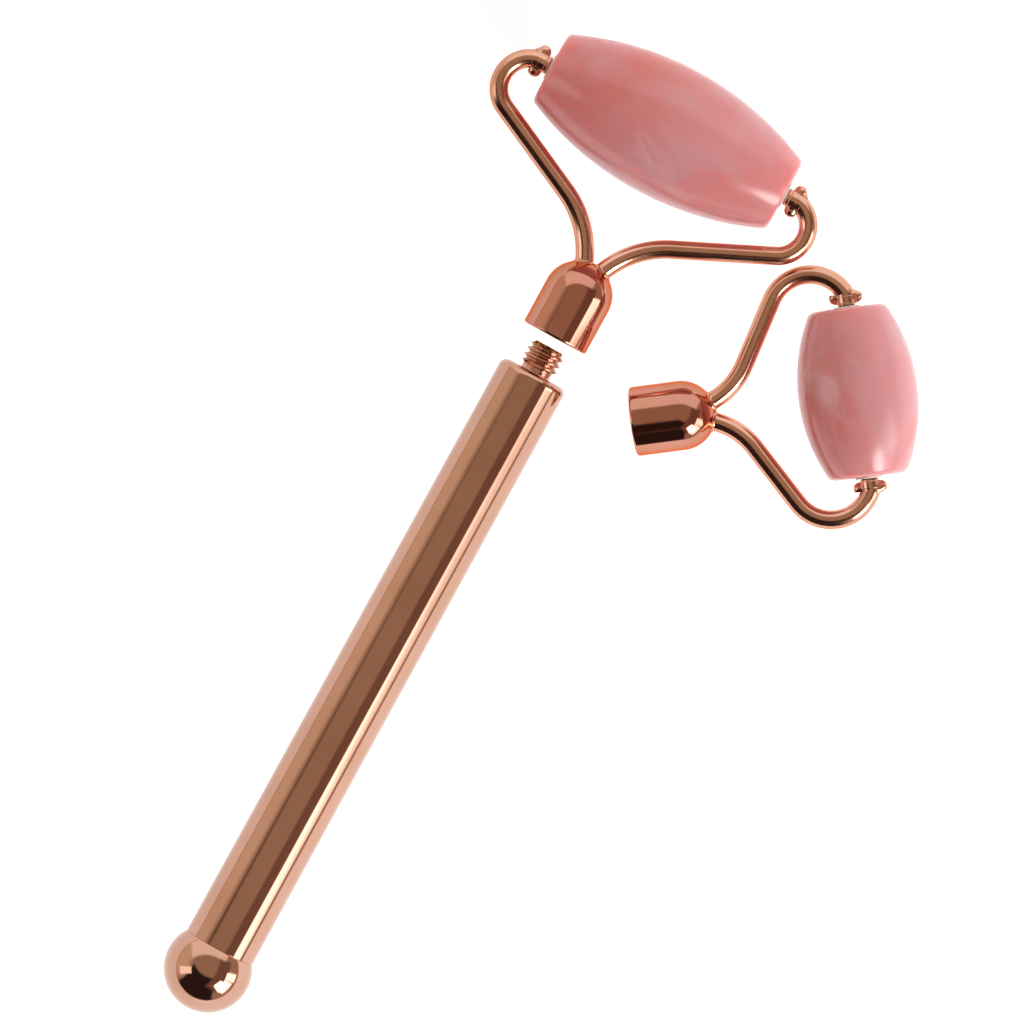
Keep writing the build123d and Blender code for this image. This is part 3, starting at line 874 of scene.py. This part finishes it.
def panel_mask(degrees_round, degrees_up, half_wide, half_high, soft):
    """A soft-edged four-sided panel in the room, its sizes in degrees."""
    ahead = how_far(nodes, link, looking, heading_of(degrees_round, degrees_up))
    mask = between(nodes, link, ahead, 0.0, 0.05)
    for axis, half in (
        (heading_of(degrees_round + 90, 0), half_wide),
        (heading_of(degrees_round, degrees_up + 90), half_high),
    ):
        off = reckoned(nodes, link, "ABSOLUTE", how_far(nodes, link, looking, axis))
        inner, outer = math.sin(math.radians(half - soft)), math.sin(math.radians(half + soft))
        edge = between(nodes, link, off, inner, outer, to_low=1.0, to_high=0.0)
        mask = reckoned(nodes, link, "MULTIPLY", mask, edge)
    return mask


CEILING = (0.47, 0.352, 0.26)
WALLS = (0.50, 0.38, 0.285)
TABLE_EDGE = (0.75, 0.42, 0.28)
TABLE_EDGE_BY_BOX = (1.25, 1.05, 0.90)
TABLE_BELOW = (1.37, 1.37, 1.37)
PANELS = {
    "pale wall": ((89, 20, 42, 22, 9), (0.86, 0.73, 0.58)),
    "white sheet": ((19, 26, 44, 26, 4), (1.26, 1.20, 1.16)),
    "dark doorway": ((178, 35, 38, 38, 4), (0.035, 0.022, 0.022)),
    "shaded wall over the soft box": ((-90, 50, 40, 16, 5), (0.25, 0.155, 0.112)),
    "window": ((121, 31, 8, 17, 1.5), (1.7, 1.62, 1.52)),
    "soft box, its frame": ((-97, 21, 24, 11, 3), (1.55, 1.5, 1.45)),
    "soft box, pane by the ball": ((-109, 24, 13.9, 12, 2), (3.6, 3.5, 3.4)),
    "soft box, pane by the stud": ((-82, 22, 7.9, 14, 0.4), (3.6, 3.5, 3.4)),
    "soft box, its lamp": ((-116, 32, 9, 11, 4), (14.0, 13.7, 13.2)),
}

height = how_far(nodes, link, looking, (0, 0, 1))
room = tinted(nodes, link, between(nodes, link, height, 0.25, 0.85), WALLS, CEILING)
for bounds, light in PANELS.values():
    room = tinted(nodes, link, panel_mask(*bounds), room, light)
low = between(nodes, link, height, 0.0, 0.06, to_low=1.0, to_high=0.0)
by_box = panel_mask(-90, 0, 60, 20, 5)
room = tinted(nodes, link, low, room, tinted(nodes, link, by_box, TABLE_EDGE, TABLE_EDGE_BY_BOX))
below = between(nodes, link, height, -0.02, 0.0, to_low=1.0, to_high=0.0)
room = tinted(nodes, link, below, room, TABLE_BELOW)
link(room, nodes["Background"].inputs["Color"])
nodes["Background"].inputs["Strength"].default_value = 1.0

CAMERA_DISTANCE = 1.39
CAMERA_MIDDLE = (0.00875, 0.0073)
FOCUS_HEIGHT = 0.009
CAMERA_TURN = math.radians(-61.22)
SEEN_WIDTH = 0.154
SENSOR_WIDTH = 36
camera = bpy.data.objects.new("camera", bpy.data.cameras.new("camera"))
bpy.context.scene.collection.objects.link(camera)
camera.data.sensor_width = SENSOR_WIDTH
camera.data.lens = SENSOR_WIDTH * CAMERA_DISTANCE / SEEN_WIDTH
camera.data.clip_end = 20
camera.location = (*CAMERA_MIDDLE, CAMERA_DISTANCE + FOCUS_HEIGHT)
camera.rotation_euler = (0, 0, CAMERA_TURN)
bpy.context.scene.camera = camera
bpy.context.scene.view_settings.view_transform = "Standard"
